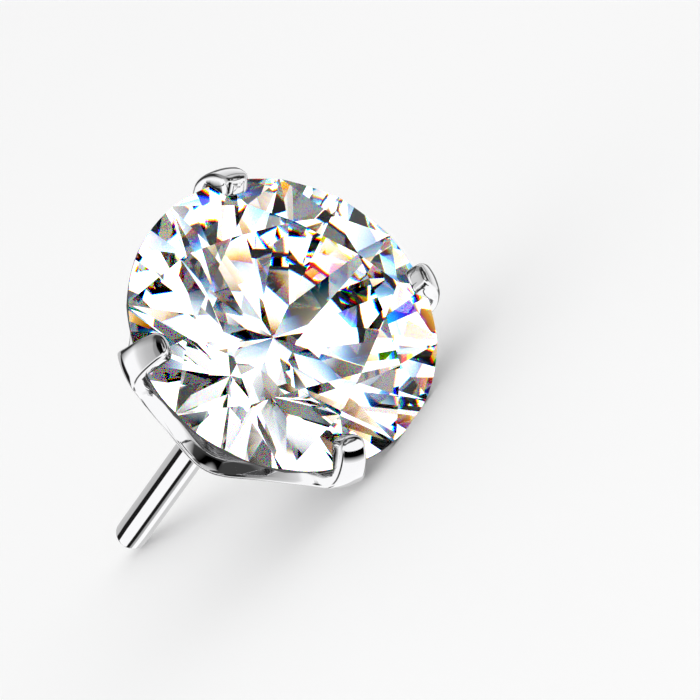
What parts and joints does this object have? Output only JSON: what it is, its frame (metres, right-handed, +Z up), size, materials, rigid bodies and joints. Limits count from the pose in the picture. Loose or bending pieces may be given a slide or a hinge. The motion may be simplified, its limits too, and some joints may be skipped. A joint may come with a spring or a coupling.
{
  "type": "threadless piercing end",
  "caption": "Threadless body jewellery end: a round cut clear stone in a pronged polished metal cup, on a plain straight push-fit pin.",
  "frame": {"origin": "on the table it lies on, under the middle of its length and width", "axes": "+X from the pin's end towards the stone, +Z up; it lies on the stone's rim and the pin's end, so the pin's line slopes in the XZ plane"},
  "size_m": [0.009, 0.005, 0.0048],
  "materials": {
    "stone": "clear cut stone, polished facets",
    "metal": "mirror polished titanium"
  },
  "bodies": {
    "root": {"stone": "stone", "setting": "metal", "pin": "metal"}
  },
  "joints": []
}
